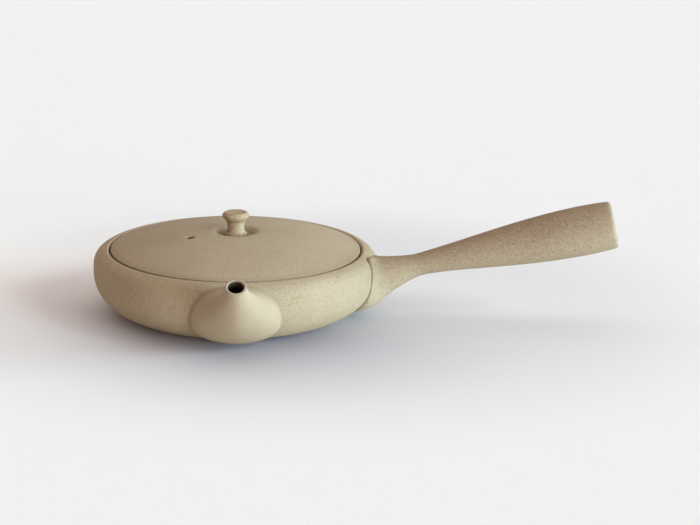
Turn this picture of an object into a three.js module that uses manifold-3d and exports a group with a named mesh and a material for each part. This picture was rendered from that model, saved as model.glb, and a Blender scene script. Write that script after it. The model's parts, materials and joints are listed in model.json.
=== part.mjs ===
// A flat side-handled teapot of unglazed stoneware, in millimetres, with +Z up.
// The axis of the thrown body is the Z axis, and its foot stands on Z = 0.
// The spout points along -Y, and the handle points near +X, turned a little towards the spout.

import * as THREE from 'three';
import { mergeVertices } from 'three/addons/utils/BufferGeometryUtils.js';
import Module from 'manifold-3d';

const wasm = await Module();
wasm.setup();

// Thrown body
const bellyOverhang = 6.3;
const bellyHeight = 18;
const bellyFullness = 2.13;
const footRadius = 34.5;
const shoulderSpan = 23;
const shoulderFullness = 3.9;
const rimHeight = 26.8;
const rimRadius = 51.7;
const rimRounding = 0.9;
const wallThickness = 3;
const floorThickness = 3.2;
const innerShoulderFullness = 0.7;

// Ledge inside the rim that carries the lid
const ledgeDepth = 2.6;
const ledgeThickness = 2.6;
const mouthRadius = 47.2;

// Lid
const lidClearance = 0.5;
const lidEdgeRounding = 0.5;
const lidRise = 7.4;
const lidFullness = 2.4;
const lidThickness = 2.6;
const lidFlangeClearance = 0.6;
const lidFlangeThickness = 2.4;
const lidFlangeDepth = 4.6;
const lidFlangeRounding = 0.7;
const dimpleRadius = 10.1;
const dimpleDepth = 1.9;
const dimpleMargin = 1;
const ventDiameter = 3.1;
const ventReach = 20.4;
const ventBearing = 205.6;

// Knob
const knobFootRadius = 4.8;
const knobStemRadius = 3.4;
const knobStemHeight = 5.7;
const knobNeckRadius = 3.9;
const knobHeadRadius = 5.5;
const knobHeadHeight = 3.65;
const knobWidestShare = 0.6;
const knobTopRadius = 4.3;
const knobTopDish = 0.3;

// Spout, with its lengths measured out from the belly and its heights from the rim
const spoutLength = 18;
const spoutLipRise = 5.2;
const spoutAim = 58;
const spoutLipRadius = 4.2;
const spoutLipWall = 1.2;
const spoutBaseWidth = 34.4;
const spoutBaseDrop = 0.8;
const spoutBaseMiddle = 11.5;
const spoutBaseBottom = 2.6;
const spoutBaseWall = 2.8;
const spoutSwell = 6;
const spoutThroat = 6.5;

// Strainer dome behind the spout, and the opening in the wall that it covers
const strainerWidth = 25;
const strainerRise = 15;
const strainerDepth = 9;
const strainerWall = 1.8;
const strainerMiddle = 13;
const strainerHoleDiameter = 1.3;
const strainerHoleMargin = 5;
const strainerHoleRings = 3;
const strainerFirstRingHoles = 6;
const openingWidth = 20;
const openingRise = 11;

// Handle, with its lengths measured out from the belly
const handleBearing = -8.5;
const handleLength = 95.5;
const handleEndHeight = 42.65;
const handleSlope = 14;
const handleRootSlope = 20;
const handleBendLength = 19;
const handleBendSoftness = 7;
const handleBaseWidth = 23.2;
const handleBaseDrop = 0.7;
const handleBaseMiddle = 13.5;
const handleBaseBottom = 2.3;
const handleBaseFullness = 3;
const handleSwellInset = 1;
const handleRootLength = 5.1;
const handleRootRadius = 7.3;
const handleRootThroat = 4;
const handleRootTaper = 1.5;
const handleNeckLength = 17.5;
const handleNeckRadius = 4.55;
const handleGripSetback = 12;
const handleGripRadius = 10;
const handleSwell = 0.8;
const handleEndRadius = 9.4;
const handleWall = 2.6;
const handleEndRounding = 0.8;

// Seam that the firing leaves between two joined pieces
const seamGap = 0.3;

// How finely the round shapes are divided
const potSides = 56;
const bellySteps = 11;
const shoulderSteps = 8;
const hollowSteps = 8;
const underLedgeSteps = 5;
const roundedEdgeSteps = 2;
const openingSides = 24;
const crownSteps = 11;
const underLidSteps = 6;
const dimpleSteps = 3;
const ventSides = 12;
const knobSides = 28;
const knobSteps = 7;
const branchSides = 26;
const spoutSteps = 10;
const flareSteps = 6;
const neckSteps = 4;
const gripSteps = 9;
const strainerSides = 24;
const strainerRows = 14;
const holeSides = 6;

const degrees = Math.PI / 180;
const fullTurn = 2 * Math.PI;
const mergeDistance = 1e-4;

const paleClay = new THREE.MeshStandardMaterial({ color: 0xc9ba98, roughness: 0.85, metalness: 0 });
const brownClay = new THREE.MeshStandardMaterial({ color: 0xa8957a, roughness: 0.9, metalness: 0 });

// Numbers from 0 to 1 in equal steps
const steps = (count) => Array.from({ length: count + 1 }, (_, i) => i / count);

const smooth = (t) => t * t * (3 - 2 * t);

const between = (from, to, t) => from + (to - from) * t;

// A smooth line through [radius, height] pairs, as more pairs
function curveThrough(pairs, count) {
  const curve = new THREE.SplineCurve(pairs.map(([r, z]) => new THREE.Vector2(r, z)));
  return curve.getPoints(count).map((p) => [p.x, p.y]);
}

// A closed geometry as a solid that can be cut and joined
function solidOf(geometry) {
  const bare = geometry.clone();
  bare.deleteAttribute('normal');
  bare.deleteAttribute('uv');
  const merged = mergeVertices(bare, mergeDistance);
  const index = merged.index.array;
  const triangles = [];
  for (let i = 0; i < index.length; i += 3) {
    const [a, b, c] = [index[i], index[i + 1], index[i + 2]];
    if (a !== b && b !== c && c !== a) triangles.push(a, b, c);
  }
  return new wasm.Manifold(new wasm.Mesh({
    numProp: 3,
    vertProperties: new Float32Array(merged.attributes.position.array),
    triVerts: new Uint32Array(triangles),
  }));
}

function piece(name, solid, material) {
  const { vertProperties, triVerts } = solid.getMesh();
  const geometry = new THREE.BufferGeometry();
  geometry.setAttribute('position', new THREE.BufferAttribute(vertProperties, 3));
  geometry.setIndex(new THREE.BufferAttribute(triVerts, 1));
  geometry.computeVertexNormals();
  const mesh = new THREE.Mesh(geometry, material);
  mesh.name = name;
  return mesh;
}

// A profile of [radius, height] pairs that starts and ends on the Z axis, turned round it
function turned(profile, sides) {
  const points = profile.map(([r, z]) => new THREE.Vector2(r, z));
  return solidOf(new THREE.LatheGeometry(points, sides).rotateX(Math.PI / 2));
}

// A tube wall through rings of points: out along its outer rings and back along its inner rings
function ringLoft(rings) {
  const count = rings[0].length;
  const positions = rings.flat().flatMap((p) => [p.x, p.y, p.z]);
  const index = [];
  rings.forEach((_, i) => {
    const here = i * count;
    const next = ((i + 1) % rings.length) * count;
    for (let k = 0; k < count; k += 1) {
      const l = (k + 1) % count;
      index.push(here + k, next + l, next + k, here + k, here + l, next + l);
    }
  });
  const geometry = new THREE.BufferGeometry();
  geometry.setAttribute('position', new THREE.Float32BufferAttribute(positions, 3));
  geometry.setIndex(index);
  return solidOf(geometry);
}

// Angles around a spout or handle, one for each point of its rings
const branchTurns = Array.from({ length: branchSides }, (_, k) => (k / branchSides) * fullTurn);

// A round ring in a plane that leans back by an angle from upright
function roundRing(centre, lean, radius) {
  const across = new THREE.Vector3(0, 1, 0);
  const up = new THREE.Vector3(-Math.sin(lean), 0, Math.cos(lean));
  return branchTurns.map((turn) => centre.clone()
    .addScaledVector(across, radius * Math.cos(turn))
    .addScaledVector(up, radius * Math.sin(turn)));
}

// Outside of the body: a superellipse from the foot to the belly, and one from there to the rim
const bellyRadius = rimRadius + bellyOverhang;
const rimOuterRadius = rimRadius + rimRounding;
const rimInset = (bellyRadius - rimOuterRadius) / shoulderSpan;
const rimShare = (1 - (1 - rimInset) ** shoulderFullness) ** (1 / shoulderFullness);
const shoulderHeight = (rimHeight - bellyHeight) / rimShare;

function bellyCurve(radius, base, drop, count) {
  return steps(count).map((t) => {
    const turn = (t * Math.PI) / 2;
    const across = Math.sin(turn) ** (2 / bellyFullness);
    const down = Math.cos(turn) ** (2 / bellyFullness);
    return [between(base, radius, across), bellyHeight - drop * down];
  });
}

function shoulderCurve(count) {
  const last = Math.asin(rimShare ** (shoulderFullness / 2));
  return steps(count).slice(1).map((t) => {
    const across = Math.cos(t * last) ** (2 / shoulderFullness);
    const up = Math.sin(t * last) ** (2 / shoulderFullness);
    return [bellyRadius - shoulderSpan * (1 - across), bellyHeight + shoulderHeight * up];
  });
}

// Radius of the outside at a height, plus the seam that keeps a joined piece off it
function seamRadiusAt(height) {
  const rise = height - bellyHeight;
  if (rise < 0) {
    const down = -rise / (bellyHeight + seamGap);
    const across = (1 - down ** bellyFullness) ** (1 / bellyFullness);
    return between(footRadius, bellyRadius + seamGap, across);
  }
  const up = rise / (shoulderHeight + seamGap);
  const across = (1 - up ** shoulderFullness) ** (1 / shoulderFullness);
  return bellyRadius + seamGap - shoulderSpan * (1 - across);
}

// A ring that lies on the outside of the body, where a spout or handle is joined on. Seen from
// the side it's an ellipse, and a fullness above 2 squares its upper half.
function seamRing(halfWidth, top, middle, bottom, fullness = 2) {
  return branchTurns.map((turn) => {
    const power = Math.sin(turn) > 0 ? 2 / fullness : 1;
    const across = Math.sign(Math.cos(turn)) * Math.abs(Math.cos(turn)) ** power;
    const up = Math.sign(Math.sin(turn)) * Math.abs(Math.sin(turn)) ** power;
    const y = halfWidth * across;
    const z = middle + (up > 0 ? top - middle : middle - bottom) * up;
    return new THREE.Vector3(Math.sqrt(seamRadiusAt(z) ** 2 - y * y), y, z);
  });
}

// Rings between a seam and a last ring. Each line between them leaves the seam straight out
// towards the swell's reach, and comes to the last ring along its own arrival.
function branchRings(seam, swellReach, last, arrivals, count) {
  const lines = seam.map((start, k) => new THREE.CubicBezierCurve3(
    start,
    new THREE.Vector3(Math.max(start.x, swellReach), start.y, start.z),
    last[k].clone().sub(arrivals[k]),
    last[k],
  ));
  return steps(count).map((t) => lines.map((line) => line.getPoint(t)));
}

const ledgeHeight = rimHeight - ledgeDepth;
const ledgeUnderside = ledgeHeight - ledgeThickness;
const innerRadius = bellyRadius - wallThickness;

// Inside of the body from its axis up to the mouth, shrunk by an offset
function hollowProfile(offset) {
  const floor = floorThickness + offset;
  const radius = innerRadius - offset;
  const ceiling = ledgeUnderside - offset;
  const belly = bellyCurve(radius, footRadius - wallThickness, bellyHeight - floor, hollowSteps);
  const underLedge = new THREE.CubicBezierCurve(
    new THREE.Vector2(radius, bellyHeight),
    new THREE.Vector2(radius, between(bellyHeight, ceiling, innerShoulderFullness)),
    new THREE.Vector2(between(mouthRadius, radius, innerShoulderFullness), ceiling),
    new THREE.Vector2(mouthRadius, ceiling),
  );
  const ledge = underLedge.getPoints(underLedgeSteps).slice(1).map((p) => [p.x, p.y]);
  return [[0, floor], ...belly, ...ledge];
}

function makeBody() {
  const rim = steps(roundedEdgeSteps).slice(1).map((t) => {
    const turn = (t * Math.PI) / 2;
    return [
      rimOuterRadius - rimRounding * Math.sin(turn),
      rimHeight - rimRounding * (1 - Math.cos(turn)),
    ];
  });
  const profile = [
    [0, 0],
    ...bellyCurve(bellyRadius, footRadius, bellyHeight, bellySteps),
    ...shoulderCurve(shoulderSteps),
    ...rim,
    [rimRadius, ledgeHeight],
    [mouthRadius, ledgeHeight],
    ...hollowProfile(0).reverse(),
  ];
  const opening = new THREE.Shape();
  opening.absellipse(0, 0, openingWidth / 2, openingRise / 2, 0, fullTurn);
  const cutter = new THREE.ExtrudeGeometry(opening, {
    depth: 2 * strainerDepth,
    bevelEnabled: false,
    curveSegments: openingSides / 2,
  });
  cutter.rotateX(Math.PI / 2);
  cutter.translate(0, strainerDepth - bellyRadius, strainerMiddle);
  return turned(profile, potSides).subtract(solidOf(cutter));
}

function makeSpout() {
  const tip = new THREE.Vector3(bellyRadius + spoutLength, 0, rimHeight + spoutLipRise);
  const aim = spoutAim * degrees;
  const throat = new THREE.Vector3(Math.cos(aim), 0, Math.sin(aim)).multiplyScalar(spoutThroat);
  const arrivals = branchTurns.map(() => throat);
  const skin = (baseInset, lipInset) => {
    const seam = seamRing(
      spoutBaseWidth / 2 - baseInset,
      rimHeight - spoutBaseDrop - baseInset,
      spoutBaseMiddle,
      spoutBaseBottom + baseInset,
    );
    const lip = roundRing(tip, aim, spoutLipRadius - lipInset);
    const swellReach = bellyRadius + spoutSwell - baseInset;
    return branchRings(seam, swellReach, lip, arrivals, spoutSteps);
  };
  const outer = skin(0, 0);
  const inner = skin(spoutBaseWall, spoutLipWall).reverse();
  return ringLoft([...outer, ...inner]).rotate([0, 0, -90]);
}

function makeStrainer() {
  const dome = (inset) => solidOf(new THREE.SphereGeometry(1, strainerSides, strainerRows)
    .scale(strainerWidth / 2 - inset, strainerDepth - inset, strainerRise / 2 - inset)
    .translate(0, -innerRadius, strainerMiddle));
  const room = turned([...hollowProfile(seamGap), [0, ledgeUnderside - seamGap]], potSides);
  const holePitch = (strainerWidth / 2 - strainerHoleMargin) / strainerHoleRings;
  let shell = dome(0).subtract(dome(strainerWall)).intersect(room);
  for (let ring = 0; ring <= strainerHoleRings; ring += 1) {
    const count = Math.max(1, strainerFirstRingHoles * ring);
    const across = ring * holePitch;
    const up = across * (strainerRise / strainerWidth);
    for (let k = 0; k < count; k += 1) {
      const turn = (k / count) * fullTurn;
      const radius = strainerHoleDiameter / 2;
      const hole = new THREE.CylinderGeometry(radius, radius, strainerDepth, holeSides).translate(
        across * Math.cos(turn),
        strainerDepth - innerRadius,
        strainerMiddle + up * Math.sin(turn),
      );
      shell = shell.subtract(solidOf(hole));
    }
  }
  return shell;
}

// Distances from the body's axis out along the handle
const handleReach = bellyRadius + handleLength;
const handleBendReach = bellyRadius + handleBendLength;
const handleSwellReach = bellyRadius - handleSwellInset;
const handleRootReach = bellyRadius + handleRootLength;
const handleNeckReach = bellyRadius + handleNeckLength;
const handleGripReach = handleReach - handleGripSetback;

// Centre line of the handle: two straight runs with a soft bend between them
const taperStep = 0.1;
const gripSteepness = Math.tan(handleSlope * degrees);
const rootSteepness = Math.tan(handleRootSlope * degrees);
const bendHeight = handleEndHeight - (handleReach - handleBendReach) * gripSteepness;

function handleCentre(reach) {
  const along = reach - handleBendReach;
  const soft = Math.hypot(along, handleBendSoftness);
  const mean = (gripSteepness + rootSteepness) / 2;
  const half = (rootSteepness - gripSteepness) / 2;
  const centre = new THREE.Vector3(reach, 0, bendHeight + mean * along - half * soft);
  return { centre, slope: Math.atan(mean - (half * along) / soft) };
}

function handleRadius(reach) {
  if (reach < handleNeckReach) {
    const share = (handleNeckReach - reach) / (handleNeckReach - handleRootReach);
    return between(handleNeckRadius, handleRootRadius, share ** handleRootTaper);
  }
  if (reach < handleGripReach) {
    const share = (reach - handleNeckReach) / (handleGripReach - handleNeckReach);
    return between(handleNeckRadius, handleGripRadius, smooth(share ** handleSwell));
  }
  const share = (reach - handleGripReach) / (handleReach - handleGripReach);
  return between(handleGripRadius, handleEndRadius, share ** 2);
}

function makeHandle() {
  const ring = (reach, inset) => {
    const { centre, slope } = handleCentre(reach);
    return roundRing(centre, slope, handleRadius(reach) - inset);
  };
  const flare = (inset) => {
    const seam = seamRing(
      handleBaseWidth / 2 - inset,
      rimHeight - handleBaseDrop - inset,
      handleBaseMiddle,
      handleBaseBottom + inset,
      handleBaseFullness,
    );
    const last = ring(handleRootReach, inset);
    const beyond = ring(handleRootReach + taperStep, inset);
    const arrivals = last.map((p, k) => beyond[k].clone().sub(p)
      .multiplyScalar(handleRootThroat / taperStep));
    return branchRings(seam, handleSwellReach - inset, last, arrivals, flareSteps);
  };
  const gripEnd = handleReach - handleEndRounding;
  const reaches = [
    ...steps(neckSteps).slice(1, -1).map((t) => between(handleRootReach, handleNeckReach, t)),
    ...steps(gripSteps).map((t) => between(handleNeckReach, gripEnd, t)),
  ];
  const outer = [...flare(0), ...reaches.map((reach) => ring(reach, 0))];
  const end = [ring(handleReach, handleEndRounding), ring(handleReach, handleWall)];
  const inner = [...flare(handleWall), ...reaches.map((reach) => ring(reach, handleWall))];
  return ringLoft([...outer, ...end, ...inner.reverse()]).rotate([0, 0, handleBearing]);
}

// Lid: a shallow dome with a dimple for the knob, and a flange that keeps it in the mouth
const lidRadius = rimRadius - lidClearance;
const lidUnderside = ledgeHeight + seamGap;
const lidFlangeRadius = mouthRadius - lidFlangeClearance;
const lidTopAt = (r) => rimHeight + lidRise * (1 - (r / lidRadius) ** lidFullness);
const dimpleLip = lidTopAt(dimpleRadius);
const dimpleFloor = dimpleLip - dimpleDepth;

function makeLid() {
  const dimple = steps(dimpleSteps).map((t) => [
    between(knobFootRadius + dimpleMargin, dimpleRadius, t),
    between(dimpleFloor, dimpleLip, smooth(t)),
  ]);
  const crown = steps(crownSteps).slice(1).map((t) => {
    const r = between(dimpleRadius, lidRadius - lidEdgeRounding, t);
    return [r, lidTopAt(r)];
  });
  const flangeInner = lidFlangeRadius - lidFlangeThickness;
  const flangeBottom = lidUnderside - lidFlangeDepth;
  const under = steps(underLidSteps).map((t) => {
    const r = flangeInner * (1 - t);
    return [r, lidTopAt(Math.max(r, dimpleRadius)) - dimpleDepth - lidThickness];
  });
  const profile = [
    [0, dimpleFloor],
    ...dimple,
    ...crown,
    [lidRadius, rimHeight - lidEdgeRounding],
    [lidRadius, lidUnderside + lidEdgeRounding],
    [lidRadius - lidEdgeRounding, lidUnderside],
    [lidFlangeRadius, lidUnderside],
    [lidFlangeRadius, flangeBottom + lidFlangeRounding],
    [lidFlangeRadius - lidFlangeRounding, flangeBottom],
    [flangeInner + lidFlangeRounding, flangeBottom],
    [flangeInner, flangeBottom + lidFlangeRounding],
    ...under,
  ].reverse();
  const bearing = ventBearing * degrees;
  const vent = new THREE.CylinderGeometry(
    ventDiameter / 2,
    ventDiameter / 2,
    2 * (lidRise + lidThickness),
    ventSides,
  )
    .rotateX(Math.PI / 2)
    .translate(ventReach * Math.cos(bearing), ventReach * Math.sin(bearing), rimHeight);
  return turned(profile, potSides).subtract(solidOf(vent));
}

function makeKnob() {
  const foot = dimpleFloor + seamGap;
  const neck = foot + knobStemHeight;
  const top = neck + knobHeadHeight;
  const stem = curveThrough([
    [knobFootRadius, foot],
    [knobStemRadius, between(foot, neck, 1 / 2)],
    [knobNeckRadius, neck],
  ], knobSteps);
  const head = curveThrough([
    [knobNeckRadius, neck],
    [knobHeadRadius, between(neck, top, knobWidestShare)],
    [knobTopRadius, top],
  ], knobSteps);
  return turned([[0, foot], ...stem, ...head.slice(1), [0, top - knobTopDish]], knobSides);
}

const teapot = new THREE.Group();
teapot.name = 'teapot';
teapot.add(
  piece('pot_body', makeBody(), paleClay),
  piece('spout', makeSpout(), paleClay),
  piece('strainer', makeStrainer(), paleClay),
  piece('handle', makeHandle(), brownClay),
  piece('lid', makeLid(), paleClay),
  piece('knob', makeKnob(), paleClay),
);

export default teapot;
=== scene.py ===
# %% [markdown]
# A flat side-handled teapot of unglazed stoneware. The body, the lid and the knob are thrown on a
# wheel, the spout and the handle are made apart and joined on before firing, and a fine-holed clay
# dome behind the spout holds the leaves back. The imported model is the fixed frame: it says where
# every piece sits and which pieces move together. Each piece below stands for the faceted solid of
# the same place, with smoother curves and the marks of the clay.

# %% The frame
import json
import math

import bmesh
import bpy
from mathutils import Matrix, Vector


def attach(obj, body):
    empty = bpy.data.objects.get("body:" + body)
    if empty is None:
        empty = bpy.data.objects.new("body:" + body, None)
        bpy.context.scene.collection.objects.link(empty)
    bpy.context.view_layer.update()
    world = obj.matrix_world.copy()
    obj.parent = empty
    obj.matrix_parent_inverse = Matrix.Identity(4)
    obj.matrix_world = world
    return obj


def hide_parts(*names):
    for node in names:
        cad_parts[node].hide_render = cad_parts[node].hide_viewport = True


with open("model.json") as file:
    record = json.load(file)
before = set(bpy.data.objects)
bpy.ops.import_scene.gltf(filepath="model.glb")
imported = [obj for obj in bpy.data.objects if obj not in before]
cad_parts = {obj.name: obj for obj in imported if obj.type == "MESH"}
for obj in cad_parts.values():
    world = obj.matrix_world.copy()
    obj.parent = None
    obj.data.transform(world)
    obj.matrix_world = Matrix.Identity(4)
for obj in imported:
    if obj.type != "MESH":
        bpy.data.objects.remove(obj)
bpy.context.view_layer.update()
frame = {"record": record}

# %% [markdown]
# The photograph looks at the pot from the spout's side, from a little above. Its long lens is
# 2000 pixels on a picture that is 700 wide, which is a lens of about 103 mm on a 36 mm film. The
# camera stands straight in front of the spout and turns a little towards the handle.

# %% The camera
PICTURE_WIDTH = 700
FOCAL_PIXELS = 2000
FILM_WIDTH = 36
FARTHEST_VIEW = 20
CAMERA_PLACE = (0, -0.7932, 0.2404)
LOOK_DOWN = math.radians(15.48)
TURN_TO_HANDLE = math.radians(3.393)
TILT_SIDEWAYS = math.radians(0.97)

camera_data = bpy.data.cameras.new("camera")
camera_data.sensor_width = FILM_WIDTH
camera_data.lens = FOCAL_PIXELS / PICTURE_WIDTH * FILM_WIDTH
camera_data.clip_end = FARTHEST_VIEW
camera = bpy.data.objects.new("camera", camera_data)
camera.matrix_world = (
    Matrix.Translation(CAMERA_PLACE)
    @ Matrix.Rotation(-TURN_TO_HANDLE, 4, "Z")
    @ Matrix.Rotation(math.radians(90) - LOOK_DOWN, 4, "X")
    @ Matrix.Rotation(TILT_SIDEWAYS, 4, "Z")
)
bpy.context.scene.collection.objects.link(camera)
bpy.context.scene.camera = camera
print("lens", round(camera_data.lens, 1), "mm")

# %% [markdown]
# All the shapes are worked out in millimetres, as a potter would measure them, and are brought to
# metres when a piece is finished. A round piece needs only half of its section. It is written as a
# list of corners, each with how far its rounding reaches along both of its sides.

# %% Outlines with rounded corners
MILLIMETRE = 0.001


def steps(count):
    """The numbers from 0 to 1 in a count of equal steps."""
    return [i / count for i in range(count + 1)]


def between(low, high, share):
    return low + (high - low) * share


def bend(start, corner, end, count):
    """Points on a curve that leaves the start towards the corner and comes to the end from it."""
    start, corner, end = Vector(start), Vector(corner), Vector(end)
    return [
        start * (1 - t) ** 2 + corner * 2 * t * (1 - t) + end * t ** 2
        for t in steps(count)
    ]


def soften(corners, count=5):
    """Rounds each (radius, height, reach) corner, where reach 0 keeps the point as it is."""
    outline = []
    for i, (r, z, reach) in enumerate(corners):
        here = Vector((r, z))
        if not reach:
            outline.append(here)
            continue
        before = Vector(corners[i - 1][:2]) - here
        after = Vector(corners[i + 1][:2]) - here
        start = here + before.normalized() * reach
        end = here + after.normalized() * reach
        outline.extend(bend(start, here, end, count))
    return outline


# %% [markdown]
# A thrown piece is a half section spun round the wheel's axis. Spinning a line of vertices is the
# modelling version of the wheel: one operator makes all the faces, and merging the doubles closes
# the seam and the pole.

# %% Spinning and skinning
MERGE_DISTANCE = 0.001
ROUND_SIDES = 144


def spun(outline, sides):
    """Spins a half section, given as (radius, height) points, once around the wheel's axis."""
    bm = bmesh.new()
    verts = [bm.verts.new((r, 0, z)) for r, z in outline]
    edges = [bm.edges.new(pair) for pair in zip(verts, verts[1:])]
    bmesh.ops.spin(
        bm, geom=verts + edges, cent=(0, 0, 0), axis=(0, 0, 1),
        angle=2 * math.pi, steps=sides, use_merge=True,
    )
    bmesh.ops.remove_doubles(bm, verts=bm.verts, dist=MERGE_DISTANCE)
    return bm


def mark_where(bm, name, is_marked, value=1.0):
    """Gives the chosen vertices of a piece a value under a name, for its material to read."""
    layer = bm.verts.layers.float.get(name) or bm.verts.layers.float.new(name)
    for vert in bm.verts:
        if is_marked(vert.co):
            vert[layer] = value


def skinned(rings, marks):
    """Bridges each ring of points to the next, with a value per ring for each named mark."""
    bm = bmesh.new()
    layers = {name: bm.verts.layers.float.new(name) for name in marks}
    loops = []
    for i, ring in enumerate(rings):
        made = bmesh.ops.create_circle(bm, segments=len(ring), radius=1)["verts"]
        for vert, place in zip(made, ring):
            vert.co = place
            for name, values in marks.items():
                vert[layers[name]] = values[i]
        loops.append(list({edge for vert in made for edge in vert.link_edges}))
    for first, second in zip(loops, loops[1:]):
        bmesh.ops.bridge_loops(bm, edges=first + second)
    return bm


# %% [markdown]
# A finished piece is brought to metres, shaded smooth except at its crisp edges, and told which
# node it stands for. The imported record says which body carries each node.

# %% Finishing a piece
SHARP_ANGLE = math.radians(50)
BODY_OF = {
    node: body
    for body, nodes in frame["record"]["behaviour"]["bodies"].items()
    for node in nodes
}


def finish_piece(bm, name, node, material):
    """Makes a smooth object of a shape in millimetres, in the place of a node of the frame."""
    bmesh.ops.recalc_face_normals(bm, faces=bm.faces)
    bmesh.ops.scale(bm, vec=(MILLIMETRE,) * 3, verts=bm.verts)
    mesh = bpy.data.meshes.new(name)
    bm.to_mesh(mesh)
    bm.free()
    mesh.shade_smooth()
    mesh.set_sharp_from_angle(angle=SHARP_ANGLE)
    mesh.materials.append(material)
    piece = bpy.data.objects.new(name, mesh)
    bpy.context.scene.collection.objects.link(piece)
    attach(piece, BODY_OF[node])
    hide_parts(node)
    print(name, len(mesh.polygons), "faces")


print("bodies of the nodes", BODY_OF)

# %% [markdown]
# Unglazed stoneware is matt and never one flat colour. Close up it shows grains of pale and dark
# clay, a few iron specks, and tiny pits where grit was dragged. The same effect is on every piece
# with its own grain, so it is one node group. It puts out masks and a height, and each material
# decides what colours they mix. Noise gives the grains, and Voronoi cells give specks, because a
# cell's random colour can switch most of them off.


# %% Small helpers for node trees
def make_node(tree, kind, inputs, **settings):
    """Makes a shader node and gives its outputs. An input is a number, a tuple or a socket."""
    node = tree.nodes.new("ShaderNode" + kind)
    for name, value in settings.items():
        setattr(node, name, value)
    for name, value in inputs.items():
        if isinstance(value, bpy.types.NodeSocket):
            tree.links.new(value, node.inputs[name])
        else:
            node.inputs[name].default_value = value
    return node.outputs


def math_node(tree, operation, a, b, clamp=False):
    inputs = {0: a, 1: b}
    return make_node(tree, "Math", inputs, operation=operation, use_clamp=clamp)[0]


def vector_node(tree, operation, vector, other=(0, 0, 0)):
    return make_node(tree, "VectorMath", {0: vector, 1: other}, operation=operation)


def noise_node(tree, vector, scale, detail, roughness=0.5):
    """Cloudy values around a half."""
    inputs = {"Vector": vector, "Scale": scale, "Detail": detail, "Roughness": roughness}
    return make_node(tree, "TexNoise", inputs)[0]


def ramp_node(tree, value, low, high):
    """Stretches the values between low and high over 0 to 1."""
    inputs = {"Value": value, "From Min": low, "From Max": high}
    return make_node(tree, "MapRange", inputs, interpolation_type="SMOOTHSTEP")[0]


# %% The grain as a node group
SPECK_SIZE = 0.42
SPECK_EDGE = 9.0
SPECKS_PER_GRAIN = 1.2
PIT_SIZE = 0.34
PITS_PER_GRAIN = 0.85
CLOUD_SCALE = 38.0
SWELL_SCALE = 140.0
GRAIN_HEIGHT = 0.5
SWELL_HEIGHT = 0.9
PIT_DEPTH = 1.2


def speck_nodes(tree, vector, scale, share, size):
    """Round specks in a share of the cells, each from half the size to all of it."""
    cells = make_node(tree, "TexVoronoi", {"Vector": vector, "Scale": scale})
    colour = make_node(tree, "SeparateColor", {"Color": cells["Color"]})
    chosen = math_node(tree, "LESS_THAN", colour["Red"], share)
    radius = math_node(tree, "MULTIPLY", colour["Green"], size / 2)
    radius = math_node(tree, "ADD", radius, size / 2)
    inside = math_node(tree, "SUBTRACT", radius, cells["Distance"])
    edge = math_node(tree, "MULTIPLY", inside, SPECK_EDGE, clamp=True)
    return math_node(tree, "MULTIPLY", chosen, edge)


def socket(group, name, direction, kind="NodeSocketFloat"):
    group.interface.new_socket(name=name, in_out=direction, socket_type=kind)


def clay_grain_group():
    group = bpy.data.node_groups.new("clay_grain", "ShaderNodeTree")
    socket(group, "Vector", "INPUT", "NodeSocketVector")
    for name in ("Grain", "Speck Share", "Pit Share"):
        socket(group, name, "INPUT")
    for name in ("Fine", "Clouds", "Specks", "Pits", "Height"):
        socket(group, name, "OUTPUT")
    enter = group.nodes.new("NodeGroupInput").outputs
    leave = group.nodes.new("NodeGroupOutput")
    vector, grain = enter["Vector"], enter["Grain"]

    fine = noise_node(group, vector, grain, detail=3.0, roughness=0.65)
    clouds = noise_node(group, vector, CLOUD_SCALE, detail=4.0, roughness=0.55)
    swell = noise_node(group, vector, SWELL_SCALE, detail=2.0)
    speck_scale = math_node(group, "MULTIPLY", grain, SPECKS_PER_GRAIN)
    specks = speck_nodes(group, vector, speck_scale, enter["Speck Share"], SPECK_SIZE)
    pit_scale = math_node(group, "MULTIPLY", grain, PITS_PER_GRAIN)
    pits = speck_nodes(group, vector, pit_scale, enter["Pit Share"], PIT_SIZE)

    height = math_node(group, "MULTIPLY", fine, GRAIN_HEIGHT)
    swells = math_node(group, "MULTIPLY", swell, SWELL_HEIGHT)
    height = math_node(group, "ADD", height, swells)
    holes = math_node(group, "MULTIPLY", pits, PIT_DEPTH)
    height = math_node(group, "SUBTRACT", height, holes)

    made = {"Fine": fine, "Clouds": clouds, "Specks": specks, "Pits": pits, "Height": height}
    for name, value in made.items():
        group.links.new(value, leave.inputs[name])
    return group


GRAIN_GROUP = clay_grain_group()
print("grain group", len(GRAIN_GROUP.nodes), "nodes")

# %% [markdown]
# One kind of clay makes the whole pot, but the fire colours it: where the flame reached, it turns
# from sand to a light brown. On the handle that blush lies along the top, so the recipe takes a
# direction in which the clay grows browner. Each piece then has its own values in one recipe, and
# its vertices carry painted shade in seams, grooves, gaps and bores, partly the brown of wiped clay
# and of tea, and a painted highlight on the rim's edge.


# %% The clay materials
SAND = (0.353, 0.283, 0.193, 1.0)
WARM_SAND = (0.303, 0.233, 0.151, 1.0)
BLUSHED = (0.28, 0.202, 0.131, 1.0)
IRON = (0.115, 0.07, 0.038, 1.0)
# Colours of painted shade: brown in seams, grooves and gaps, near black in bores, partly tea stain
SHADE_AND_SEAM_BROWN = (0.138, 0.095, 0.058, 1.0)
SHADE_AND_TEA_STAIN = (0.04, 0.028, 0.016, 1.0)


def mix_colour(tree, share, first, second):
    """Mixes two colours. The node takes them at its inputs 6 and 7, and gives output 2."""
    inputs = {0: share, 6: first, 7: second}
    return make_node(tree, "Mix", inputs, data_type="RGBA")[2]


def blush_along(tree, vector, origin, direction, low, high):
    """A mask that rises from 0 to 1 between two distances from a point along a direction."""
    offset = vector_node(tree, "SUBTRACT", vector, origin)[0]
    along = vector_node(tree, "DOT_PRODUCT", offset, direction)["Value"]
    return ramp_node(tree, along, low, high)


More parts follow.
